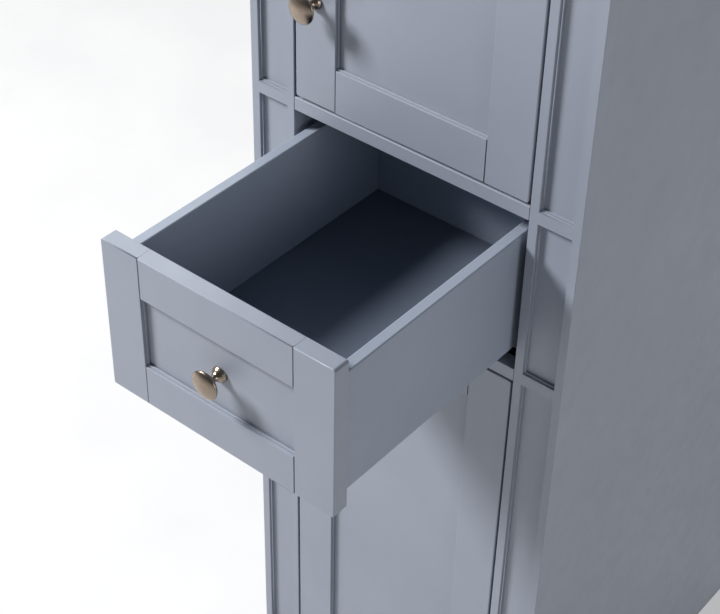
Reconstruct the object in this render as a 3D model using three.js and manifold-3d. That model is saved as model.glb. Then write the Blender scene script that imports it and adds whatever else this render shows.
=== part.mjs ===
// Tall inset pantry cabinet: a shelved upper door, one drawer, a shelved lower door.
//
// Millimetres, +Z up. X runs across the cabinet, the front faces -Y.
// The origin is on the floor, at the middle of the cabinet's back plane.
// The drawer is drawn out by drawerPull, and both doors are shut.

import * as THREE from 'three';
import { mergeVertices } from 'three/addons/utils/BufferGeometryUtils.js';
import Module from 'manifold-3d';

const wasm = await Module();
wasm.setup();

// ---------------------------------------------------------------- dimensions

// Overall
const cabinetWidth = 457;
const cabinetDepth = 610;
const cabinetHeight = 2134;

// Boards of the case
const caseBoard = 18;
const shelfBoard = 16;
const backBoard = 9;
const toeBoard = 16;
const toeHeight = 100;
const toeDepth = 60;
const wallRailHeight = 90;

// Face frame
const faceBoard = 20;
const pilasterWidth = 65;
const pilasterStile = 11;
const topRail = 50;
const midRail = 17.5;
const bottomRail = 25;
const crossRail = 16.5;
const drawerBayTop = 1050;
const drawerBayHeight = 208;

// Doors and drawer front, each a frame of stiles and rails round a panel
const frontBoard = 21;
const doorReveal = 3;
const doorStile = 57;
const doorRail = 54.6;
const drawerFrame = 53;
const drawerRevealSide = 4.5;
const drawerRevealTop = 5;
const drawerRevealBottom = 3;

// Stepped moulding inside each frame: a bead set back from the face, then the panel
const beadWidth = 2;
const beadDepth = 3;
const panelDepth = 6.3;
const panelBoard = 6;
const panelTongue = 6;
const grooveSlack = 1;

// Fine line on the face where a rail meets a stile: the rail's end is stepped back
const jointLineWidth = 0.7;
const jointLineDepth = 2.5;

// Drawer box
const drawerPull = 308.5;
const boxSideBoard = 14;
const boxSideClearance = 9.65;
const boxSideDrop = 20.7;
const boxLength = 430;
const boxFloorBoard = 6;
const boxFloorRise = 15.7;
const boxFloorTongue = 6;

// Concealed slides under the drawer, bent from sheet
const slideSheet = 1.5;
const slideLength = 430;
const slideSetBack = 3;
const slideRoom = 22.3;
const slideLift = 7.8;
const runnerWidth = 28;
const runnerHeight = 9;
const middleWidth = 22;
const guideWidth = 16;
const slidePlay = 1;
const slideFlangeHeight = 36;
const linerLip = 3;

// Adjustable shelves
const upperShelves = 3;
const lowerShelves = 1;
const shelfPostGap = 1.7;
const shelfSideGap = 1;

// Concealed hinges
const postDepth = 60;
const cupRadius = 17.5;
const cupDepth = 12;
const cupWall = 1.2;
const cupEdge = 5;
const flangeWide = 16;
const flangeLap = 5;
const hingeEndInset = 90;
const hingePlateWide = 48;
const hingePlateLong = 28;
const hingePlateThick = 2;
const hingeArmWide = 16;
const hingeArmLong = 34;
const hingeArmDeep = 12;
const hingeArmSetBack = 4;
const hingeSwingRoom = 9.7;
const linkWide = 14;
const linkThick = 5;
const linkReach = 16;
const upperHinges = 3;
const lowerHinges = 2;

// Knobs
const knobRadius = 17.5;
const knobFootRadius = 9.5;
const knobFootThick = 2;
const knobFootFlare = 5;
const knobStemRadius = 5.5;
const knobProjection = 29;
const knobHeadThick = 12;
const knobRimThick = 2;
const knobDome = 4.5;
const knobUndercut = 3.5;
const knobDomeSteps = 4;
const doorKnobInset = 28.5;
const upperKnobHeight = 130;
const lowerKnobDrop = 90;

// Clearances
const jointGap = 0.3;
const cornerSeam = 0.1;
const cut = 2;

// Segments round a turned piece
const turnedSegments = 28;

// ------------------------------------------------------------ derived places

const halfWidth = cabinetWidth / 2;
const sideInner = halfWidth - caseBoard;
const openingHalf = halfWidth - pilasterWidth;
const faceFront = -cabinetDepth;
const faceBack = faceFront + faceBoard;
const caseFront = faceBack + jointGap;
const caseBack = -backBoard - jointGap;
const drawerBayFloor = drawerBayTop - drawerBayHeight;
const upperBayFloor = drawerBayTop + midRail;
const upperBayTop = cabinetHeight - topRail;
const lowerBayTop = drawerBayFloor - midRail;
const lowerBayFloor = toeHeight + bottomRail;
const deckTop = upperBayFloor - (midRail - shelfBoard) / 2;
const bottomTop = lowerBayFloor - 1;
const boxHalf = openingHalf - boxSideClearance;
const boxInner = boxHalf - boxSideBoard;
const boxTop = drawerBayTop - drawerRevealTop - boxSideDrop;
const boxBottom = drawerBayFloor + slideRoom;
const boxFloorTop = boxBottom + boxFloorRise;
const boxFloorUnder = boxFloorTop - boxFloorBoard;
const slideFront = faceFront + frontBoard + slideSetBack;
const slideBase = drawerBayFloor + slideLift;
const linerBase = slideBase - linerLip;
const postBack = caseFront + postDepth;
const cupInset = cupRadius + cupEdge;

// ------------------------------------------------------------------ finishes

function finish(color, roughness, metalness) {
  return new THREE.MeshStandardMaterial({ color, roughness, metalness });
}

const paint = finish(0x9ba0ae, 0.45, 0.0);
const insidePaint = finish(0x8a909e, 0.5, 0.0);
const drawerPaint = finish(0x59616f, 0.5, 0.0);
const knobMetal = finish(0xb9b2a4, 0.3, 1.0);
const steel = finish(0x9a9da1, 0.35, 1.0);

// ------------------------------------------------------------- solid helpers

function toSolid(geometry) {
  const bare = geometry.clone();
  bare.deleteAttribute('normal');
  bare.deleteAttribute('uv');
  const merged = mergeVertices(bare, 1e-4);
  return new wasm.Manifold(new wasm.Mesh({
    numProp: 3,
    vertProperties: new Float32Array(merged.attributes.position.array),
    triVerts: new Uint32Array(merged.index.array),
  }));
}

function toGeometry(solid) {
  const mesh = solid.getMesh();
  const geometry = new THREE.BufferGeometry();
  geometry.setAttribute('position', new THREE.BufferAttribute(mesh.vertProperties, 3));
  geometry.setIndex(new THREE.BufferAttribute(mesh.triVerts, 1));
  geometry.computeVertexNormals();
  return geometry;
}

// A block between two opposite corners
function block(low, high) {
  const size = high.map((value, i) => value - low[i]);
  const geometry = new THREE.BoxGeometry(...size);
  return geometry.translate(...low.map((value, i) => value + size[i] / 2));
}

// A round bar along Y, between two depths
function barAlongY(x, z, radius, yLow, yHigh) {
  const geometry = new THREE.CylinderGeometry(radius, radius, yHigh - yLow, turnedSegments);
  return geometry.translate(x, (yLow + yHigh) / 2, z);
}

// Joins some geometries and cuts others out of them
function carve(joined, removed = []) {
  const whole = joined.map(toSolid).reduce((a, b) => a.add(b));
  return toGeometry(removed.map(toSolid).reduce((a, b) => a.subtract(b), whole));
}

function piece(name, geometry, material) {
  const mesh = new THREE.Mesh(geometry, material);
  mesh.name = name;
  return mesh;
}

// A plain rectangular board, its geometry centred on itself
function board(name, low, high, material = paint) {
  const size = new THREE.Vector3(...high.map((value, i) => value - low[i]));
  const mesh = piece(name, new THREE.BoxGeometry(size.x, size.y, size.z), material);
  mesh.position.set(...low.map((value, i) => (value + high[i]) / 2));
  return mesh;
}

// Mirrors a span of x values to the side given by sign
function spanX(sign, inner, outer) {
  return sign > 0 ? [inner, outer] : [-outer, -inner];
}

const sides = [['left', -1], ['right', 1]];

// ---------------------------------------------------------------------- case

// Side panels stand on the floor and are notched at the front for the toe space
function sidePanel(side, sign) {
  const front = faceBack + cornerSeam;
  const outline = new THREE.Shape();
  outline.moveTo(0, 0);
  outline.lineTo(0, cabinetHeight);
  outline.lineTo(front, cabinetHeight);
  outline.lineTo(front, toeHeight);
  outline.lineTo(faceFront + toeDepth, toeHeight);
  outline.lineTo(faceFront + toeDepth, 0);
  outline.closePath();
  const geometry = new THREE.ExtrudeGeometry(outline, { depth: caseBoard, bevelEnabled: false });
  const mesh = piece(`side_panel_${side}`, geometry, paint);
  // The outline's own axes (x, y, extrusion) become (y, z, x) of the cabinet
  mesh.rotation.set(Math.PI / 2, 0, Math.PI / 2, 'ZXY');
  mesh.position.x = sign > 0 ? sideInner : -halfWidth;
  return mesh;
}

function caseBoards() {
  const reach = sideInner - jointGap;
  const across = (name, yFront, zLow, zHigh) => board(
    name, [-reach, yFront, zLow], [reach, caseBack, zHigh], insidePaint);
  const toeFront = faceFront + toeDepth;
  const bottomUnder = bottomTop - shelfBoard;
  return [
    across('top_panel', caseFront, cabinetHeight - caseBoard, cabinetHeight),
    across('bottom_panel', caseFront, bottomUnder, bottomTop),
    across('drawer_deck', caseFront, deckTop - shelfBoard, deckTop),
    board('back_panel', [-reach, -backBoard, 0], [reach, 0, cabinetHeight], insidePaint),
    board('toe_board', [-reach, toeFront, 0], [reach, toeFront + toeBoard, bottomUnder - jointGap]),
  ];
}

function wallRail() {
  const reach = sideInner - jointGap;
  const high = cabinetHeight - caseBoard - jointGap;
  return board(
    'wall_rail', [-reach, caseBack - shelfBoard, high - wallRailHeight], [reach, caseBack, high], insidePaint);
}

// Shelves share the height between two levels into equal bays
function shelves(bay, count, floor, ceiling) {
  const reach = sideInner - shelfSideGap;
  const pitch = (ceiling - floor + shelfBoard) / (count + 1);
  return Array.from({ length: count }, (unused, i) => {
    const high = floor + pitch * (i + 1);
    return board(
      `${bay}_shelf_${i + 1}`,
      [-reach, postBack + shelfPostGap, high - shelfBoard],
      [reach, caseBack - jointGap, high],
      insidePaint);
  });
}

// ---------------------------------------------------------------- face frame

// A pilaster is one board, with a stepped panel routed between its cross rails
function pilaster(side, sign) {
  const levels = [
    [lowerBayFloor, drawerBayFloor - midRail / 2 - crossRail / 2],
    [drawerBayFloor - midRail / 2 + crossRail / 2, drawerBayTop + midRail / 2 - crossRail / 2],
    [drawerBayTop + midRail / 2 + crossRail / 2, upperBayTop],
  ];
  const width = pilasterWidth / 2;
  const pocket = ([low, high], inset, depth) => block(
    [pilasterStile + inset - width, -cut, low + inset],
    [width - pilasterStile - inset, depth, high - inset]);
  const pockets = levels.flatMap((level) => [
    pocket(level, 0, beadDepth),
    pocket(level, beadWidth, panelDepth),
  ]);
  const blank = block([-width, 0, toeHeight], [width, faceBoard, cabinetHeight]);
  const mesh = piece(`pilaster_${side}`, carve([blank], pockets), paint);
  mesh.position.set(sign * (halfWidth - width), faceFront, 0);
  return mesh;
}

function faceRail(level, low, high) {
  const reach = openingHalf - jointGap;
  return board(`face_rail_${level}`, [-reach, faceFront, low], [reach, faceBack, high]);
}

function faceFrame() {
  return [
    ...sides.map(([side, sign]) => pilaster(side, sign)),
    faceRail('top', upperBayTop, cabinetHeight),
    faceRail('upper', drawerBayTop, upperBayFloor),
    faceRail('lower', lowerBayTop, drawerBayFloor),
    faceRail('bottom', toeHeight, lowerBayFloor),
  ];
}

// ------------------------------------------------------- framed panel fronts

// The front's own frame: x from its middle, y = 0 at its face, z = 0 at its bottom edge.
// Stiles run the full height, rails fit between them, and the panel sits in their grooves.
function framedFront(name, width, height, stileWidth, railWidth, stileHoles = []) {
  const half = width / 2;
  const inner = half - stileWidth;
  const grooveFront = panelDepth - jointGap;
  const grooveBack = panelDepth + panelBoard + jointGap;
  const grooveReach = panelTongue + grooveSlack;

  const stile = (side, sign) => {
    const [xLow, xHigh] = spanX(sign, inner, half);
    const [beadLow, beadHigh] = spanX(sign, inner - beadWidth, inner + cut);
    const [grooveLow, grooveHigh] = spanX(sign, inner - beadWidth - cut, inner + grooveReach);
    const beadEnd = railWidth + beadWidth + jointGap;
    const body = block([xLow, 0, 0], [xHigh, frontBoard, height]);
    const bead = block([beadLow, beadDepth, beadEnd], [beadHigh, grooveFront, height - beadEnd]);
    const groove = block(
      [grooveLow, grooveFront, railWidth - grooveReach],
      [grooveHigh, grooveBack, height - railWidth + grooveReach]);
    const holes = sign > 0 ? stileHoles : [];
    return piece(`${name}_stile_${side}`, carve([body, bead], [groove, ...holes]), paint);
  };

  const rail = (level, zOuter, sign) => {
    const reach = inner - jointGap;
    const span = (a, b) => [zOuter + sign * a, zOuter + sign * b].sort((p, q) => p - q);
    const [zLow, zHigh] = span(0, railWidth);
    const [beadLow, beadHigh] = span(railWidth - cut, railWidth + beadWidth);
    const [grooveLow, grooveHigh] = span(railWidth - grooveReach, railWidth + beadWidth + cut);
    const body = block([-reach, 0, zLow], [reach, frontBoard, zHigh]);
    const bead = block([-reach, beadDepth, beadLow], [reach, grooveFront, beadHigh]);
    const groove = block([-half, grooveFront, grooveLow], [half, grooveBack, grooveHigh]);
    const jointLines = sides.map(([, end]) => {
      const [lineLow, lineHigh] = spanX(end, reach - jointLineWidth, half);
      return block([lineLow, -cut, zLow - cut], [lineHigh, jointLineDepth, zHigh + cut]);
    });
    return piece(`${name}_rail_${level}`, carve([body, bead], [groove, ...jointLines]), paint);
  };

  const panelLow = railWidth - panelTongue;
  return [
    ...sides.map(([side, sign]) => stile(side, sign)),
    rail('bottom', 0, 1),
    rail('top', height, -1),
    board(
      `${name}_panel`,
      [-inner - panelTongue, panelDepth, panelLow],
      [inner + panelTongue, panelDepth + panelBoard, height - panelLow]),
  ];
}

// --------------------------------------------------------------------- knobs

// A turned mushroom knob: flared foot, slim stem, wide head with a low dome and a rim line.
// Its own frame: y = 0 where the foot meets the board, the head towards -Y.
function knob(name, x, y, z) {
  const flareEnd = knobFootThick + knobFootFlare;
  const neck = knobProjection - knobHeadThick;
  const rimFront = knobProjection - knobDome;
  const rimBack = rimFront - knobRimThick;
  const dome = Array.from({ length: knobDomeSteps - 1 }, (unused, i) => {
    const angle = (i + 1) / knobDomeSteps * Math.PI / 2;
    return [knobRadius * Math.cos(angle), rimFront + knobDome * Math.sin(angle)];
  });
  const profile = [
    [0, 0],
    [knobFootRadius, 0],
    [knobFootRadius, knobFootThick],
    [(knobFootRadius + knobStemRadius) / 2, knobFootThick + knobFootFlare / 4],
    [knobStemRadius, flareEnd],
    [knobStemRadius, neck - knobRimThick],
    [knobStemRadius + knobRimThick, neck],
    [knobRadius - knobUndercut, rimBack - knobRimThick],
    [knobRadius, rimBack],
    [knobRadius, rimFront],
    ...dome,
    [0, knobProjection],
  ].map(([radius, height]) => new THREE.Vector2(radius, height));
  const geometry = new THREE.LatheGeometry(profile, turnedSegments);
  const mesh = piece(name, geometry, knobMetal);
  mesh.rotation.x = Math.PI;
  mesh.position.set(x, y - jointGap, z);
  return mesh;
}

// -------------------------------------------------------------------- hinges

// Heights of a door's hinges above its bottom edge, the end ones at equal insets
function hingeHeights(count, doorHeight) {
  const pitch = (doorHeight - 2 * hingeEndInset) / (count - 1);
  return Array.from({ length: count }, (unused, i) => hingeEndInset + pitch * i);
}

// Bored from the back of the door's right stile
function cupBore(doorHalf, z) {
  return barAlongY(
    doorHalf - cupInset, z, cupRadius + jointGap, frontBoard - cupDepth - jointGap, frontBoard + cut);
}

// Cup, flange and link that stay with the door, in the door's own frame
function hingeCup(name, doorHalf, z) {
  const x = doorHalf - cupInset;
  const back = frontBoard + jointGap;
  const flangeBack = back + hingePlateThick;
  const flangeReach = cupRadius + flangeLap;
  const linkOuter = doorHalf - doorReveal / 2;
  const linkBack = flangeBack + linkThick;
  const cup = barAlongY(x, z, cupRadius, frontBoard - cupDepth, flangeBack);
  const flange = block(
    [x - flangeWide / 2, back, z - flangeReach], [x + flangeWide / 2, flangeBack, z + flangeReach]);
  const hollow = barAlongY(x, z, cupRadius - cupWall, frontBoard - cupDepth + cupWall, flangeBack + cut);
  const linkInner = linkOuter - linkReach;
  const link = block(
    [linkInner, frontBoard - cupDepth + cupWall / 2, z - linkWide / 2],
    [linkInner + linkThick, linkBack, z + linkWide / 2]);
  const elbow = block([linkInner, flangeBack, z - linkWide / 2], [linkOuter, linkBack, z + linkWide / 2]);
  const dish = carve([cup, flange], [hollow]);
  return piece(name, carve([dish, link, elbow]), steel);
}

// Mounting plate and arm that stay with the case, on the hinge post's face
function hingePlate(name, z) {
  const face = openingHalf - jointGap;
  const front = faceFront + frontBoard + jointGap + hingePlateThick + linkThick + hingeSwingRoom;
  const armFront = front + hingeArmSetBack;
  const wing = block(
    [face - hingePlateThick, front, z - hingePlateWide / 2],
    [face, front + hingePlateLong, z + hingePlateWide / 2]);
  const arm = block(
    [face - hingeArmDeep, armFront, z - hingeArmWide / 2],
    [face - hingePlateThick / 2, armFront + hingeArmLong, z + hingeArmWide / 2]);
  return piece(name, carve([wing, arm]), steel);
}

// The posts pack out the case behind the right pilaster, for the hinge plates to screw to
function hingePost(bay, low, high) {
  return board(
    `hinge_post_${bay}`,
    [openingHalf, caseFront, low + jointGap],
    [sideInner - jointGap, postBack, high - jointGap],
    insidePaint);
}

// --------------------------------------------------------------------- doors

function door(name, bayFloor, bayTop, hingeCount, knobHeight) {
  const doorHalf = openingHalf - doorReveal;
  const bottom = bayFloor + doorReveal;
  const height = bayTop - bayFloor - 2 * doorReveal;
  const heights = hingeHeights(hingeCount, height);
  const bores = heights.map((z) => cupBore(doorHalf, z));
  const leaf = new THREE.Group();
  leaf.position.set(0, faceFront, bottom);
  leaf.add(...framedFront(name, 2 * doorHalf, height, doorStile, doorRail, bores));
  leaf.add(...heights.map((z, i) => hingeCup(`${name}_hinge_cup_${i + 1}`, doorHalf, z)));
  leaf.add(knob(`${name}_knob`, doorKnobInset - doorHalf, 0, knobHeight(height)));
  const plates = heights.map((z, i) => hingePlate(`${name}_hinge_plate_${i + 1}`, bottom + z));
  return [leaf, ...plates];
}

// -------------------------------------------------------------------- drawer

// The front, in the drawer's own frame: y = 0 at its face
function drawerFront() {
  const width = 2 * (openingHalf - drawerRevealSide);
  const height = drawerBayHeight - drawerRevealTop - drawerRevealBottom;
  const front = new THREE.Group();
  front.position.z = drawerBayFloor + drawerRevealBottom;
  front.add(...framedFront('drawer_front', width, height, drawerFrame, drawerFrame));
  front.add(knob('drawer_knob', 0, panelDepth, height / 2));
  return front;
}

function drawerBox() {
  const front = frontBoard + jointGap;
  const back = front + boxLength;
  const floorHalf = boxInner + boxFloorTongue - jointGap;

  const side = (label, sign) => {
    const [xLow, xHigh] = spanX(sign, boxInner, boxHalf);
    const [grooveLow, grooveHigh] = spanX(sign, boxInner - cut, boxInner + boxFloorTongue);
    const body = block([xLow, front, boxBottom], [xHigh, back, boxTop]);
    const groove = block(
      [grooveLow, front - cut, boxFloorUnder - jointGap],
      [grooveHigh, back + cut, boxFloorTop + jointGap]);
    return piece(`drawer_side_${label}`, carve([body], [groove]), drawerPaint);
  };

  return [
    ...sides.map(([label, sign]) => side(label, sign)),
    board(
      'drawer_back',
      [jointGap - boxInner, back - boxSideBoard, boxFloorTop + jointGap],
      [boxInner - jointGap, back, boxTop],
      drawerPaint),
    board(
      'drawer_bottom',
      [-floorHalf, front + jointGap, boxFloorUnder], [floorHalf, back, boxFloorTop],
      drawerPaint),
  ];
}

// -------------------------------------------------------------------- slides

// The three members of each slide nest under the drawer's floor: an inverted channel on the
// drawer, a smaller one that follows at half its travel, and a guide on the bay's liner.
const runnerMid = boxInner - slidePlay - runnerWidth / 2;
const runnerTop = boxFloorUnder - jointGap;
const middleTop = runnerTop - slideSheet - slidePlay;
const guideTop = middleTop - slideSheet - slidePlay;

// An inverted channel along Y, open underneath
function channel(name, sign, width, top, height, yFront) {
  const yBack = yFront + slideLength;
  const mid = sign * runnerMid;
  const outer = block([mid - width / 2, yFront, top - height], [mid + width / 2, yBack, top]);
  const inner = block(
    [mid - width / 2 + slideSheet, yFront - cut, top - height - cut],
    [mid + width / 2 - slideSheet, yBack + cut, top - slideSheet]);
  return piece(name, carve([outer], [inner]), steel);
}

function slideRail(side, sign) {
  const yBack = slideFront + slideLength;
  const face = openingHalf - jointGap;
  const plate = (inner, outer, low, high) => {
    const [xLow, xHigh] = spanX(sign, inner, outer);
    return block([xLow, slideFront, low], [xHigh, yBack, high]);
  };
  const base = plate(runnerMid - guideWidth / 2, face, slideBase, slideBase + slideSheet);
  const flange = plate(face - slideSheet, face, slideBase, slideBase + slideFlangeHeight);
  const guide = plate(runnerMid - guideWidth / 2, runnerMid + guideWidth / 2, slideBase, guideTop);
  return piece(`slide_rail_${side}`, carve([base, flange, guide]), steel);
}

// The liners pack out the drawer's bay to the width of its opening, and the slides screw to them
function bayLiner(side, sign) {
  const [xLow, xHigh] = spanX(sign, openingHalf, sideInner - jointGap);
  const high = deckTop - shelfBoard - jointGap;
  return board(
    `bay_liner_${side}`, [xLow, caseFront, linerBase], [xHigh, caseBack - jointGap, high], insidePaint);
}

function slides() {
  const middleHeight = middleTop - slideBase - slideSheet - slidePlay;
  return sides.flatMap(([side, sign]) => [
    bayLiner(side, sign),
    slideRail(side, sign),
    channel(`slide_middle_${side}`, sign, middleWidth, middleTop, middleHeight, slideFront - drawerPull / 2),
    channel(`slide_runner_${side}`, sign, runnerWidth, runnerTop, runnerHeight, slideFront - drawerPull),
  ]);
}

// ------------------------------------------------------------------- cabinet

const drawer = new THREE.Group();
drawer.position.y = faceFront - drawerPull;
drawer.add(drawerFront(), ...drawerBox());

const cabinet = new THREE.Group();
cabinet.add(
  ...sides.map(([side, sign]) => sidePanel(side, sign)),
  ...caseBoards(),
  wallRail(),
  ...faceFrame(),
  ...shelves('upper', upperShelves, deckTop, cabinetHeight - caseBoard),
  ...shelves('lower', lowerShelves, bottomTop, lowerBayTop),
  hingePost('upper', deckTop, cabinetHeight - caseBoard),
  hingePost('lower', bottomTop, linerBase),
  ...door('upper_door', upperBayFloor, upperBayTop, upperHinges, () => upperKnobHeight),
  ...door('lower_door', lowerBayFloor, lowerBayTop, lowerHinges, (height) => height - lowerKnobDrop),
  ...slides(),
  drawer,
);

export default cabinet;
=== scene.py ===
import math

import bmesh
import bpy
from mathutils import Matrix, Vector


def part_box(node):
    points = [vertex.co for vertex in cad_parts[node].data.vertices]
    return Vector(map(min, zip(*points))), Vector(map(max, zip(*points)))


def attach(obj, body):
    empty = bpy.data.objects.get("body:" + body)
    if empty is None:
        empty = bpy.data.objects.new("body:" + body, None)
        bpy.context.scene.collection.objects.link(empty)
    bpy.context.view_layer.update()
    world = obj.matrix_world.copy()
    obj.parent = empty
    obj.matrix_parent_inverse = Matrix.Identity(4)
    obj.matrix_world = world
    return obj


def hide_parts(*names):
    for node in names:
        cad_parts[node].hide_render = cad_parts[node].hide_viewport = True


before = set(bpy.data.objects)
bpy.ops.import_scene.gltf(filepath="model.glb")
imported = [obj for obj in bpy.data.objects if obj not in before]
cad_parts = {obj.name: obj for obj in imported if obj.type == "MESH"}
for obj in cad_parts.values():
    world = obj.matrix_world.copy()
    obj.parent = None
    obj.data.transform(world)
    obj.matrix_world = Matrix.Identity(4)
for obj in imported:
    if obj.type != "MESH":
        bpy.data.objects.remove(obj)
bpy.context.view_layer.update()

# Looks for the pantry cabinet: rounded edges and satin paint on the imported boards, turned knobs, screws,
# shelf pins, a studio and a camera. Lengths are in metres in the row frame, so MM turns millimetres into
# metres. Only the outlines of the knob and of the shelf pin's collar are written in millimetres.

MM = 0.001
WELD_DISTANCE = 0.01 * MM
HARD_ANGLE = math.radians(25)
KNOB_SHARP_ANGLE = math.radians(38)
SCREW_SHARP_ANGLE = math.radians(40)
PIN_SHARP_ANGLE = math.radians(35)
COPLANAR = math.radians(0.5)
SAME_PLACE = 0.1 * MM

BOARD_ARRIS = 0.8 * MM
MOULDING_ARRIS = 0.45 * MM
DOOR_EDGE = 1.5 * MM
DOOR_CORNER = 4.0 * MM
DRAWER_TOP_EDGE = 2.0 * MM
SHEET_EDGE = 0.3 * MM
WIDEST_EDGE = DOOR_CORNER
EDGE_SEGMENTS = 4

TURNED_STEPS = 96
SCREW_STEPS = 48
SMALLEST_SINE = 1e-6

# Screw heads as (radius, height), and their outline and cross recess as shares of those two.
KNOB_SCREW = (4.2 * MM, 2.2 * MM)
CUP_SCREW = (2.1 * MM, 1.1 * MM)
PLATE_SCREW = (3.6 * MM, 1.8 * MM)
ARM_SCREW = (2.8 * MM, 1.4 * MM)
PAN_HEAD = ((0.97, 0), (1, 0.12), (1, 0.35), (0.95, 0.62), (0.82, 0.86), (0.68, 0.97), (0.62, 1))
CROSS_RECESS = ((0.55, 0.13, 1), (0.50, 0.11, 0.85), (0.26, 0.08, 0.25))

CUP_RADIUS = 17.5 * MM
CUP_FLANGE = 1.2 * MM
CUP_SCREW_INSET = 2.5 * MM
PLATE_THICKNESS = 2 * MM
PLATE_SCREW_INSET = 6 * MM
ADJUSTER_FRONT_INSET = 10 * MM
ADJUSTER_REAR_INSET = 7 * MM

PIN_COLLAR = ((2.4, 0), (4.0, 0.2), (4.0, 1.0), (3.4, 1.3), (2.6, 1.4))
PIN_RADIUS = 4.0 * MM
PIN_INSET = 50 * MM
SPOON_HALF_WIDTH = 5 * MM
SPOON_LENGTH = 11 * MM
SPOON_THICKNESS = 1.6 * MM
SPOON_START = 0.6 * MM
SPOON_STEPS = 12


# ---------------------------------------------------------------- reading the frame

def names_starting(*prefixes):
    """The CAD nodes whose names start with one of the prefixes, in name order."""
    return sorted(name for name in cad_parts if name.startswith(prefixes))


def outline(names):
    """The lowest and highest corners of several CAD nodes together."""
    boxes = [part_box(name) for name in names]
    low = Vector(min(pair[0][axis] for pair in boxes) for axis in range(3))
    high = Vector(max(pair[1][axis] for pair in boxes) for axis in range(3))
    return low, high


# ---------------------------------------------------------------- rounded edges on the boards

def corner_key(point):
    """A point rounded to a hundredth of a millimetre, to match corners between meshes."""
    return tuple(round(value / WELD_DISTANCE) for value in point)


def edge_key(first, second):
    return frozenset((corner_key(first), corner_key(second)))


def hard_edges(mesh):
    """The edges at which two faces meet at a real angle, each with whether it is an outside edge."""
    welded = bmesh.new()
    welded.from_mesh(mesh)
    bmesh.ops.remove_doubles(welded, verts=welded.verts, dist=WELD_DISTANCE)
    found = {
        edge_key(edge.verts[0].co, edge.verts[1].co): edge.is_convex
        for edge in welded.edges
        if edge.calc_face_angle(0) > HARD_ANGLE
    }
    welded.free()
    return found


def lies_on(first, second, axis, place):
    """True if both ends of an edge have this coordinate."""
    return all(abs(end[axis] - place) < SAME_PLACE for end in (first, second))


def plain_radius(radius):
    """Every edge gets the same radius."""
    return lambda first, second: radius


def front_radius(names):
    """A door or drawer front has round corners and eased outer edges. Its moulding and the joints on its
    face have a fine arris, and its joints are flush everywhere else."""
    low, high = outline(names)

    def radius(first, second):
        beside = any(lies_on(first, second, 0, place) for place in (low.x, high.x))
        above = any(lies_on(first, second, 2, place) for place in (low.z, high.z))
        at_face = lies_on(first, second, 1, low.y)
        at_back = lies_on(first, second, 1, high.y)
        if beside and above:
            return DOOR_CORNER
        if beside or above:
            return DOOR_EDGE if at_face or at_back else 0
        return 0 if at_back else MOULDING_ARRIS

    return radius


def corner_post_radius(first, second):
    """The face board and the side panel meet without an arris, so that the side reads as one surface."""
    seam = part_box("pilaster_right")[1].y
    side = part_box("side_panel_right")[1].x
    on_side = any(lies_on(first, second, 0, place) for place in (-side, side))
    on_seam = any(lies_on(first, second, 1, place) for place in (seam, seam + SAME_PLACE))
    return 0 if on_side and on_seam else BOARD_ARRIS


def drawer_side_radius(first, second):
    """The top edges of the drawer's sides and back are fully eased, for the hands."""
    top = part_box("drawer_side_left")[1].z
    return DRAWER_TOP_EDGE if lies_on(first, second, 2, top) else BOARD_ARRIS


def round_edges(name, radius_of):
    """Welds, cleans and bevels a CAD node by modifiers, so that its own vertices stay as imported. Inside
    corners stay sharp, as a cutter leaves them. The pilasters keep their triangles, because their face has
    holes in it. The rails aren't clamped, because the fine steps at their ends would shrink every edge on
    them."""
    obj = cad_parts[name]
    mesh = obj.data
    mesh.attributes.remove(mesh.attributes["custom_normal"])
    hard = hard_edges(mesh)
    weights = mesh.attributes.new("bevel_weight_edge", "FLOAT", "EDGE")
    mesh.shade_smooth()
    for edge in mesh.edges:
        first, second = (mesh.vertices[index].co for index in edge.vertices)
        key = edge_key(first, second)
        radius = radius_of(first, second) if hard.get(key) else 0
        weights.data[edge.index].value = radius / WIDEST_EDGE
        edge.use_edge_sharp = key in hard and radius == 0
    weld = obj.modifiers.new("weld", "WELD")
    weld.merge_threshold = WELD_DISTANCE
    if not name.startswith("pilaster"):
        flatten = obj.modifiers.new("flatten", "DECIMATE")
        flatten.decimate_type = "DISSOLVE"
        flatten.angle_limit = COPLANAR
    bevel = obj.modifiers.new("arris", "BEVEL")
    bevel.limit_method = "WEIGHT"
    bevel.width = WIDEST_EDGE
    bevel.segments = EDGE_SEGMENTS
    bevel.use_clamp_overlap = "_rail_" not in name
    bevel.harden_normals = True


def round_all_edges():
    """Gives each CAD node that stays its edge radii."""
    fronts = {
        prefix: front_radius(names_starting(prefix + "stile", prefix + "rail"))
        for prefix in ("upper_door_", "lower_door_", "drawer_front_")
    }
    for name in names_starting(""):
        if name.endswith("_knob"):
            continue
        ours = [prefix for prefix in fronts if name.startswith((prefix + "stile", prefix + "rail"))]
        front = ours[0] if ours else None
        if front:
            round_edges(name, fronts[front])
        elif name.startswith(("pilaster", "side_panel")):
            round_edges(name, corner_post_radius)
        elif name.startswith(("drawer_side", "drawer_back")):
            round_edges(name, drawer_side_radius)
        elif "hinge_cup" in name or "hinge_plate" in name or name.startswith("slide_"):
            round_edges(name, plain_radius(SHEET_EDGE))
        else:
            round_edges(name, plain_radius(BOARD_ARRIS))


# ---------------------------------------------------------------- turned and pressed metal pieces

def cross_reach(angle, arm_length, arm_half_width):
    """How far a cross-shaped driver recess reaches in the direction of an angle."""
    quarter = math.pi / 2
    off_arm = abs((angle + quarter / 2) % quarter - quarter / 2)
    end = arm_length / math.cos(off_arm)
    flank = arm_half_width / max(math.sin(off_arm), SMALLEST_SINE)
    return min(end, flank)


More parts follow.
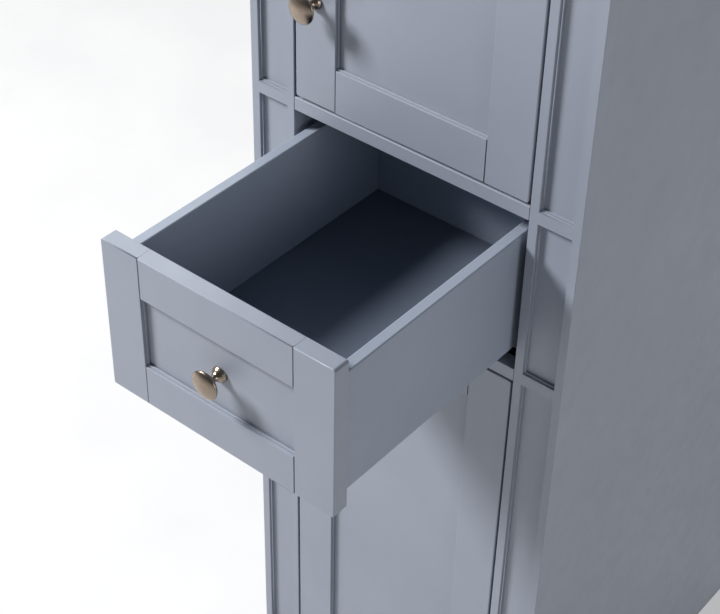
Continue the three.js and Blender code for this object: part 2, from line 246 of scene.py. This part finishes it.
def turned_mesh(name, profile, steps, recess=()):
    """A closed turned mesh about +Z. The profile is (radius, height) rings from the bottom to the top. The
    recess is (arm length, arm half width, height) rings that go on from there, or nothing."""
    mesh = bmesh.new()
    angles = [2 * math.pi * step / steps for step in range(steps)]
    rings = []
    for radius, height in profile:
        rings.append([mesh.verts.new((radius * math.cos(a), radius * math.sin(a), height)) for a in angles])
    for arm_length, arm_half_width, height in recess:
        reach = [cross_reach(a, arm_length, arm_half_width) for a in angles]
        rings.append([
            mesh.verts.new((r * math.cos(a), r * math.sin(a), height)) for r, a in zip(reach, angles)
        ])
    for lower, upper in zip(rings, rings[1:]):
        for step in range(steps):
            after = (step + 1) % steps
            mesh.faces.new((lower[step], lower[after], upper[after], upper[step]))
    mesh.faces.new(rings[0][::-1])
    mesh.faces.new(rings[-1])
    bmesh.ops.recalc_face_normals(mesh, faces=mesh.faces)
    data = bpy.data.meshes.new(name)
    mesh.to_mesh(data)
    mesh.free()
    data.shade_smooth()
    return data


def facing(direction):
    """The rotation that turns +Z to a direction."""
    return Vector(direction).to_track_quat("Z", "Y")


def place(name, data, at, direction, body, slot, material):
    """A piece of that mesh, with its own +Z turned to a direction, on a body."""
    piece = bpy.data.objects.new(name, data)
    bpy.context.scene.collection.objects.link(piece)
    piece.rotation_mode = "QUATERNION"
    piece.rotation_quaternion = facing(direction)
    piece.location = at
    if not data.materials:
        data.materials.append(material)
    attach(piece, body)
    return piece


def smooth_by_angle(data, limit):
    """Keeps sharp the edges that turn more than the limit."""
    data.set_sharp_from_angle(angle=limit)


# The knob's outline, in millimetres
KNOB_RADIUS = 17.5
KNOB_PROJECTION = 29
KNOB_CURVE_STEPS = 9
KNOB_FOOT = ((9.2, 0), (9.5, 0.3), (9.5, 1.5), (9.2, 1.9), (8.9, 2.2))
KNOB_STEPS = 3
KNOB_STEP_START = (12.0, 17.3)
KNOB_STEP_OUT = 1.9
KNOB_STEP_UP = 1.5
KNOB_STEP_SHAPE = ((0, 0), (0.3, 0.2), (0.4, 1.1), (0.7, 1.3))


def bezier(start, first_pull, second_pull, end, steps):
    """The points along a cubic curve, without its start."""
    controls = (start, first_pull, second_pull, end)
    points = []
    for step in range(1, steps + 1):
        t = step / steps
        weights = ((1 - t) ** 3, 3 * t * (1 - t) ** 2, 3 * t ** 2 * (1 - t), t ** 3)
        across, up = (sum(w * point[axis] for w, point in zip(weights, controls)) for axis in range(2))
        points.append((across, up))
    return points


def knob_outline():
    """The knob from its foot to the crown of its head, as (radius, height) in millimetres: a disc, a bell,
    a slim stem, the underside of the head with fine steps in it, the rim and a low dome."""
    stem = (3.7, 11.5)
    under_head = (10.6, 17.1)
    rim_back = (16.5, 21.6)
    rim_front = (17.0, 23.9)
    bell = bezier(KNOB_FOOT[-1], (8.3, 5.4), (3.7, 5.2), stem, KNOB_CURVE_STEPS)
    underside = bezier(stem, (3.8, 15.2), (6.4, 16.6), under_head, KNOB_CURVE_STEPS)
    step_radius, step_height = KNOB_STEP_START
    steps = [
        (step_radius + out + KNOB_STEP_OUT * count, step_height + up + KNOB_STEP_UP * count)
        for count in range(KNOB_STEPS)
        for out, up in KNOB_STEP_SHAPE
    ]
    rim = bezier(rim_back, (17.7, 21.9), (17.75, 23.4), rim_front, KNOB_CURVE_STEPS)
    dome = bezier(rim_front, (14.6, 26.2), (7.0, 28.95), (0.8, KNOB_PROJECTION), KNOB_CURVE_STEPS)
    return [*KNOB_FOOT, *bell, *underside, *steps, *rim, *dome]


def make_knobs(materials):
    """Turned mushroom knobs with a flared foot, a slim stem and fine steps behind the rim, with screws."""
    first_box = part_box("drawer_knob")
    radius_scale = (first_box[1].x - first_box[0].x) / 2 / KNOB_RADIUS
    height_scale = (first_box[1].y - first_box[0].y) / KNOB_PROJECTION
    profile = [(radius * radius_scale, height * height_scale) for radius, height in knob_outline()]
    data = turned_mesh("turned_knob", profile, TURNED_STEPS)
    smooth_by_angle(data, KNOB_SHARP_ANGLE)
    screw = screw_mesh("knob_screw_head", *KNOB_SCREW)
    backs = {
        "drawer": "drawer_front_panel",
        "upper_door": "upper_door_stile_left",
        "lower_door": "lower_door_stile_left",
    }
    for body, board in backs.items():
        name = f"{body}_knob"
        low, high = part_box(name)
        centre = (low + high) / 2
        at = Vector((centre.x, high.y, centre.z))
        knob = place(f"{name}_turned", data, at, (0, -1, 0), body, "knob_metal", materials["knob_metal"])
        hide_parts(name)
        behind = Vector((centre.x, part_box(board)[1].y, centre.z))
        place(f"{name}_screw", screw, behind, (0, 1, 0), body, "steel", materials["steel"])


def screw_mesh(name, radius, height):
    """A pan head with a cross recess, standing on its flat underside."""
    profile = [(radius * out, height * up) for out, up in PAN_HEAD]
    recess = [(radius * arm, radius * half_width, height * up) for arm, half_width, up in CROSS_RECESS]
    data = turned_mesh(name, profile, SCREW_STEPS, recess)
    smooth_by_angle(data, SCREW_SHARP_ANGLE)
    return data


def make_hinge_screws(materials):
    """Two screws in each cup's flange, two in each mounting plate and two adjusters in each hinge arm."""
    cup_screw = screw_mesh("cup_screw_head", *CUP_SCREW)
    plate_screw = screw_mesh("plate_screw_head", *PLATE_SCREW)
    arm_screw = screw_mesh("arm_screw_head", *ARM_SCREW)
    steel = materials["steel"]
    for name in names_starting("upper_door_hinge_cup", "lower_door_hinge_cup"):
        low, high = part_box(name)
        body = name.split("_hinge")[0]
        flange_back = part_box(f"{body}_stile_right")[1].y + CUP_FLANGE
        across = low.x + CUP_RADIUS
        for side, height in (("low", low.z + CUP_SCREW_INSET), ("high", high.z - CUP_SCREW_INSET)):
            at = Vector((across, flange_back, height))
            place(f"{name}_screw_{side}", cup_screw, at, (0, 1, 0), body, "steel", steel)
    for name in names_starting("upper_door_hinge_plate", "lower_door_hinge_plate"):
        low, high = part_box(name)
        centre = (low + high) / 2
        plate_face = high.x - PLATE_THICKNESS
        for side, height in (("low", low.z + PLATE_SCREW_INSET), ("high", high.z - PLATE_SCREW_INSET)):
            at = Vector((plate_face, centre.y, height))
            place(f"{name}_screw_{side}", plate_screw, at, (-1, 0, 0), "case", "steel", steel)
        adjusters = (("front", low.y + ADJUSTER_FRONT_INSET), ("rear", high.y - ADJUSTER_REAR_INSET))
        for side, depth in adjusters:
            at = Vector((low.x, depth, centre.z))
            place(f"{name}_adjuster_{side}", arm_screw, at, (-1, 0, 0), "case", "steel", steel)


def spoon_outline():
    """A shelf pin's spoon as (across, out from the wall): a strip with a half-round tip."""
    centre = SPOON_LENGTH - SPOON_HALF_WIDTH
    angles = [math.pi * step / SPOON_STEPS for step in range(SPOON_STEPS + 1)]
    tip = [
        (SPOON_HALF_WIDTH * math.cos(angle), centre + SPOON_HALF_WIDTH * math.sin(angle))
        for angle in angles
    ]
    return [(SPOON_HALF_WIDTH, SPOON_START), *tip, (-SPOON_HALF_WIDTH, SPOON_START)]


def pin_mesh():
    """A shelf pin: a short collar against the cabinet's side and a flat rounded spoon that the shelf rests
    on. Its own +Z points into the cabinet, and its spoon's flat faces +Y."""
    collar = [(radius * MM, height * MM) for radius, height in PIN_COLLAR]
    data = turned_mesh("shelf_pin", collar, SCREW_STEPS)
    mesh = bmesh.new()
    mesh.from_mesh(data)
    shape = spoon_outline()
    lower = [mesh.verts.new((x, PIN_RADIUS - SPOON_THICKNESS, z)) for x, z in shape]
    upper = [mesh.verts.new((x, PIN_RADIUS, z)) for x, z in shape]
    count = len(shape)
    for step in range(count):
        after = (step + 1) % count
        mesh.faces.new((lower[step], lower[after], upper[after], upper[step]))
    mesh.faces.new(lower[::-1])
    mesh.faces.new(upper)
    bmesh.ops.recalc_face_normals(mesh, faces=mesh.faces)
    mesh.to_mesh(data)
    mesh.free()
    data.shade_smooth()
    smooth_by_angle(data, PIN_SHARP_ANGLE)
    return data


def make_shelf_pins(materials):
    """Four pins under each shelf. Each is turned once more, so that its spoon lies flat under the shelf."""
    data = pin_mesh()
    left_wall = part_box("side_panel_left")[1].x
    right_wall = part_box("side_panel_right")[0].x
    for name in names_starting("upper_shelf", "lower_shelf"):
        low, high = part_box(name)
        height = low.z - PIN_RADIUS
        for end, depth in (("front", low.y + PIN_INSET), ("rear", high.y - PIN_INSET)):
            for side, wall, inwards in (("left", left_wall, 1), ("right", right_wall, -1)):
                pin_name = f"{name}_pin_{end}_{side}"
                at = Vector((wall, depth, height))
                pin = place(pin_name, data, at, (inwards, 0, 0), "case", "steel", materials["steel"])
                turn = Matrix(((0, 0, inwards), (-inwards, 0, 0), (0, 1, 0)))
                pin.rotation_quaternion = turn.to_quaternion()
                pin.parent = None
                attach(pin, "case")


# ---------------------------------------------------------------- materials

# The middle of a noise texture's output, where most of it lies
NOISE_LOW = 0.3
NOISE_HIGH = 0.7

# A larger texture scale is a finer pattern, and gloss is a range of roughness
CLOUD_SCALE = 7
GLOSS_SCALE = 38
PEEL_SCALE = 420
GRAIN_SCALE = 1900
CLOUD_DARKEST = 0.965
CLOUD_LIGHTEST = 1.035
PEEL_DEPTH = 0.02 * MM
GRAIN_DEPTH = 0.005 * MM
PAINT_COLOUR = (0.238, 0.263, 0.319)
# The drawer's paint is the case paint made a little bluer: painted bounce light, for the bluer light
# between the drawer's walls.
DRAWER_BOUNCE_TINT_COLOUR = (0.24, 0.276, 0.34)
# The drawer's floor is the paint made much darker: painted shade, for the shade that falls inside the
# drawer.
DRAWER_FLOOR_SHADE_COLOUR = (0.112, 0.136, 0.185)
OUTSIDE_GLOSS = (0.36, 0.46)
INSIDE_GLOSS = (0.42, 0.54)
DRAWER_GLOSS = (0.42, 0.52)
DRAWER_FLOOR_GLOSS = (0.46, 0.58)

STEEL_DARK = (0.52, 0.53, 0.56)
STEEL_LIGHT = (0.66, 0.66, 0.67)
STEEL_GLOSS = (0.26, 0.42)
STEEL_CLOUD_SCALE = 120
STEEL_GRAIN_SCALE = 900
STEEL_GRAIN_STRETCH = (1, 0.05, 1)
STEEL_CLOUD_DEPTH = 0.01 * MM
STEEL_GRAIN_DEPTH = 0.012 * MM
NICKEL_DARK = (0.27, 0.218, 0.172)
NICKEL_LIGHT = (0.32, 0.261, 0.209)
NICKEL_GLOSS = (0.22, 0.29)
NICKEL_CLOUD_SCALE = 160
LATHE_LINE_SCALE = 900
NICKEL_RELIEF = 0.006 * MM


class Shader:
    """A Principled material, built from nodes by name."""

    def __init__(self, name):
        self.material = bpy.data.materials.new(name)
        self.material.use_nodes = True
        self.nodes = self.material.node_tree.nodes
        self.links = self.material.node_tree.links
        self.surface = self.nodes["Principled BSDF"]
        self.coordinates = self.nodes.new("ShaderNodeTexCoord").outputs["Object"]

    def set(self, **values):
        """Uniform values on the surface's own sockets, such as Metallic=1."""
        for name, value in values.items():
            self.surface.inputs[name.replace("_", " ")].default_value = value

    def stretched(self, scale):
        """The object's coordinates multiplied by a vector."""
        mapping = self.nodes.new("ShaderNodeMapping")
        mapping.inputs["Scale"].default_value = scale
        self.links.new(self.coordinates, mapping.inputs["Vector"])
        return mapping.outputs["Vector"]

    def noise(self, scale, detail=2.0, roughness=0.5, vector=None):
        texture = self.nodes.new("ShaderNodeTexNoise")
        texture.inputs["Scale"].default_value = scale
        texture.inputs["Detail"].default_value = detail
        texture.inputs["Roughness"].default_value = roughness
        self.links.new(vector or self.coordinates, texture.inputs["Vector"])
        return texture.outputs["Fac"]

    def rings(self, scale):
        """Fine lathe lines round the object's own Z axis."""
        texture = self.nodes.new("ShaderNodeTexWave")
        texture.wave_type = "RINGS"
        texture.rings_direction = "Z"
        texture.inputs["Scale"].default_value = scale
        texture.inputs["Distortion"].default_value = 1.5
        texture.inputs["Detail"].default_value = 2.0
        self.links.new(self.coordinates, texture.inputs["Vector"])
        return texture.outputs["Fac"]

    def between(self, source, low, high):
        """The source's middle range mapped to a range."""
        ranged = self.nodes.new("ShaderNodeMapRange")
        ranged.inputs["From Min"].default_value = NOISE_LOW
        ranged.inputs["From Max"].default_value = NOISE_HIGH
        ranged.inputs["To Min"].default_value = low
        ranged.inputs["To Max"].default_value = high
        self.links.new(source, ranged.inputs["Value"])
        return ranged.outputs["Result"]

    def colour_between(self, source, first, second):
        """The base colour, from the first to the second as the source rises."""
        ramp = self.nodes.new("ShaderNodeValToRGB")
        ramp.color_ramp.elements[0].position = NOISE_LOW
        ramp.color_ramp.elements[1].position = NOISE_HIGH
        ramp.color_ramp.elements[0].color = (*first, 1)
        ramp.color_ramp.elements[1].color = (*second, 1)
        self.links.new(source, ramp.inputs["Fac"])
        self.links.new(ramp.outputs["Color"], self.surface.inputs["Base Color"])

    def roughness(self, source, low, high):
        self.links.new(self.between(source, low, high), self.surface.inputs["Roughness"])

    def bumps(self, *layers):
        """Height layers of (source, depth), the widest first."""
        normal = None
        for source, depth in layers:
            bump = self.nodes.new("ShaderNodeBump")
            bump.inputs["Strength"].default_value = 1.0
            bump.inputs["Distance"].default_value = depth
            self.links.new(source, bump.inputs["Height"])
            if normal:
                self.links.new(normal, bump.inputs["Normal"])
            normal = bump.outputs["Normal"]
        self.links.new(normal, self.surface.inputs["Normal"])


def tinted(colour, factor):
    return tuple(channel * factor for channel in colour)


def satin_paint(name, colour, low_gloss, high_gloss):
    """Sprayed satin lacquer: slightly cloudy colour and gloss, a faint orange peel and a fine grain."""
    shader = Shader(name)
    clouds = shader.noise(CLOUD_SCALE, detail=3)
    shader.colour_between(clouds, tinted(colour, CLOUD_DARKEST), tinted(colour, CLOUD_LIGHTEST))
    shader.roughness(shader.noise(GLOSS_SCALE, detail=4, roughness=0.6), low_gloss, high_gloss)
    peel = shader.noise(PEEL_SCALE, detail=1.5)
    grain = shader.noise(GRAIN_SCALE, detail=2)
    shader.bumps((peel, PEEL_DEPTH), (grain, GRAIN_DEPTH))
    shader.set(Specular_IOR_Level=0.5)
    return shader.material


def plated_steel(name):
    """Bright zinc plate with a soft drawn grain along the part."""
    shader = Shader(name)
    drawn = shader.noise(STEEL_GRAIN_SCALE, detail=3, vector=shader.stretched(STEEL_GRAIN_STRETCH))
    clouds = shader.noise(STEEL_CLOUD_SCALE, detail=4, roughness=0.7)
    shader.colour_between(clouds, STEEL_DARK, STEEL_LIGHT)
    shader.roughness(drawn, *STEEL_GLOSS)
    shader.bumps((clouds, STEEL_CLOUD_DEPTH), (drawn, STEEL_GRAIN_DEPTH))
    shader.set(Metallic=1.0)
    return shader.material


def satin_nickel(name):
    """Warm brushed nickel with the fine round lines that the lathe left."""
    shader = Shader(name)
    lines = shader.rings(LATHE_LINE_SCALE)
    clouds = shader.noise(NICKEL_CLOUD_SCALE, detail=3)
    shader.colour_between(clouds, NICKEL_DARK, NICKEL_LIGHT)
    shader.roughness(lines, *NICKEL_GLOSS)
    shader.bumps((clouds, NICKEL_RELIEF), (lines, NICKEL_RELIEF))
    shader.set(Metallic=1.0)
    return shader.material


def make_materials():
    """A material for each of the record's slots, and a much darker one for the drawer's floor: painted
    shade, standing in for the shade inside the drawer.
    """
    return {
        "paint": satin_paint("satin_blue_grey_paint", PAINT_COLOUR, *OUTSIDE_GLOSS),
        "inside_paint": satin_paint("inside_blue_grey_paint", PAINT_COLOUR, *INSIDE_GLOSS),
        # The drawer's paint is tinted bluer as painted bounce light.
        "drawer_paint": satin_paint("drawer_paint_bounce_tinted", DRAWER_BOUNCE_TINT_COLOUR, *DRAWER_GLOSS),
        # The drawer's floor paint is darkened as painted shade.
        "drawer_floor_shade": satin_paint("drawer_floor_painted_shade", DRAWER_FLOOR_SHADE_COLOUR, *DRAWER_FLOOR_GLOSS),
        "steel": plated_steel("zinc_plated_steel"),
        "knob_metal": satin_nickel("satin_nickel"),
    }


def finish_nodes(materials):
    """Each CAD node keeps its record slot and gets that slot's material, except the drawer's bottom, which
    gets the darker floor paint as painted shade.
    """
    for name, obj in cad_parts.items():
        slot = obj.data.materials[0].name
        # The drawer's bottom gets the darker floor paint, which is painted shade.
        finish = "drawer_floor_shade" if name == "drawer_bottom" else slot
        obj.data.materials[0] = materials[finish]


# ---------------------------------------------------------------- studio

FLOOR_HALF = 40.0
FLOOR_DARK = (0.33, 0.33, 0.335)
FLOOR_LIGHT = (0.37, 0.37, 0.37)
FLOOR_GLOW = 0.40
FLOOR_GLOSS = (0.7, 0.85)
FLOOR_CLOUD_SCALE = 3
FLOOR_GLOSS_SCALE = 20
WALL_LIGHT = (0.06, 0.064, 0.07, 1)
CEILING_LIGHT = (0.10, 0.118, 0.14, 1)
CEILING_START = 0.75
CAMERA_AT = Vector((0.9165, -1.8267, 2.0960))
CAMERA_AZIMUTH = math.radians(38.681)
CAMERA_ELEVATION = math.radians(38.799)
CAMERA_ROLL = math.radians(1.307)
CAMERA_LENS = 84.11
CAMERA_SHIFT = (-0.0035, -0.0255)
CAMERA_SENSOR = 36.0
CAMERA_NEAR = 0.05
CAMERA_FAR = 100

AIM = Vector((0, -0.75, 0.95))
KEY_DIRECTION = Vector((-0.7035, -0.4014, 0.5866))
KEY_DISTANCE = 4.6
KEY_SIZE = 1.25
KEY_POWER = 400
KEY_COLOUR = (1.0, 0.985, 0.97)
FILL_DIRECTION = Vector((1, -0.15, 0.22))
FILL_DISTANCE = 3.4
FILL_SIZE = 1.7
FILL_POWER = 31
FILL_COLOUR = (1.0, 0.99, 0.98)
BACK_DIRECTION = Vector((-0.49, 0.61, 0.63))
BACK_DISTANCE = 3.6
BACK_SIZE = 2.4
BACK_POWER = 60
BACK_COLOUR = (0.97, 0.99, 1.0)


def soft_box(name, direction, distance, size, power, colour):
    """A round area lamp in a direction from the aim point, facing it, and unseen by the camera."""
    lamp = bpy.data.lights.new(name, "AREA")
    lamp.shape = "DISK"
    lamp.size = size
    lamp.energy = power
    lamp.color = colour
    obj = bpy.data.objects.new(name, lamp)
    bpy.context.scene.collection.objects.link(obj)
    obj.location = AIM + direction.normalized() * distance
    obj.rotation_mode = "QUATERNION"
    obj.rotation_quaternion = direction.to_track_quat("Z", "Y")
    obj.visible_camera = False
    return obj


def make_floor():
    """A plain pale floor that glows a little."""
    data = bpy.data.meshes.new("floor")
    corners = [(x, y, 0) for x, y in ((-1, -1), (1, -1), (1, 1), (-1, 1))]
    data.from_pydata([Vector(corner) * FLOOR_HALF for corner in corners], [], [(0, 1, 2, 3)])
    floor = bpy.data.objects.new("floor", data)
    bpy.context.scene.collection.objects.link(floor)
    shader = Shader("pale_floor")
    shader.colour_between(shader.noise(FLOOR_CLOUD_SCALE, detail=4), FLOOR_DARK, FLOOR_LIGHT)
    shader.roughness(shader.noise(FLOOR_GLOSS_SCALE), *FLOOR_GLOSS)
    shader.set(Emission_Color=(1, 1, 1, 1), Emission_Strength=FLOOR_GLOW)
    data.materials.append(shader.material)


def make_world():
    """Faint studio light, cooler and stronger from above, and plain white where the camera sees it."""
    world = bpy.data.worlds.new("studio")
    bpy.context.scene.world = world
    world.use_nodes = True
    nodes = world.node_tree.nodes
    links = world.node_tree.links
    nodes.clear()
    direction = nodes.new("ShaderNodeTexCoord")
    split = nodes.new("ShaderNodeSeparateXYZ")
    links.new(direction.outputs["Generated"], split.inputs["Vector"])
    ramp = nodes.new("ShaderNodeValToRGB")
    walls, ceiling = ramp.color_ramp.elements
    walls.position = 0.0
    walls.color = WALL_LIGHT
    ceiling.position = CEILING_START
    ceiling.color = CEILING_LIGHT
    links.new(split.outputs["Z"], ramp.inputs["Fac"])
    lighting = nodes.new("ShaderNodeBackground")
    links.new(ramp.outputs["Color"], lighting.inputs["Color"])
    backdrop = nodes.new("ShaderNodeBackground")
    backdrop.inputs["Color"].default_value = (1, 1, 1, 1)
    path = nodes.new("ShaderNodeLightPath")
    mix = nodes.new("ShaderNodeMixShader")
    links.new(path.outputs["Is Camera Ray"], mix.inputs["Fac"])
    links.new(lighting.outputs["Background"], mix.inputs[1])
    links.new(backdrop.outputs["Background"], mix.inputs[2])
    output = nodes.new("ShaderNodeOutputWorld")
    links.new(mix.outputs["Shader"], output.inputs["Surface"])


def make_camera():
    """The camera above the drawer's right front corner, looking down to the left."""
    az, el, roll = CAMERA_AZIMUTH, CAMERA_ELEVATION, CAMERA_ROLL
    back = Vector((math.sin(az) * math.cos(el), -math.cos(az) * math.cos(el), math.sin(el)))
    level_right = Vector((math.cos(az), math.sin(az), 0))
    level_up = back.cross(level_right)
    right = math.cos(roll) * level_right + math.sin(roll) * level_up
    up = math.cos(roll) * level_up - math.sin(roll) * level_right
    data = bpy.data.cameras.new("camera")
    data.sensor_width = CAMERA_SENSOR
    data.lens = CAMERA_LENS
    data.shift_x, data.shift_y = CAMERA_SHIFT
    data.clip_start = CAMERA_NEAR
    data.clip_end = CAMERA_FAR
    camera = bpy.data.objects.new("camera", data)
    bpy.context.scene.collection.objects.link(camera)
    rotation = Matrix((right, up, back)).transposed()
    camera.matrix_world = Matrix.Translation(CAMERA_AT) @ rotation.to_4x4()
    bpy.context.scene.camera = camera


def make_studio():
    """Camera, floor, world and three soft boxes."""
    bpy.context.scene.view_settings.view_transform = "Standard"
    make_camera()
    make_floor()
    make_world()
    soft_box("key", KEY_DIRECTION, KEY_DISTANCE, KEY_SIZE, KEY_POWER, KEY_COLOUR)
    soft_box("fill", FILL_DIRECTION, FILL_DISTANCE, FILL_SIZE, FILL_POWER, FILL_COLOUR)
    soft_box("back", BACK_DIRECTION, BACK_DISTANCE, BACK_SIZE, BACK_POWER, BACK_COLOUR)


# ---------------------------------------------------------------- the scene

materials = make_materials()
finish_nodes(materials)
round_all_edges()
make_knobs(materials)
make_hinge_screws(materials)
make_shelf_pins(materials)
make_studio()
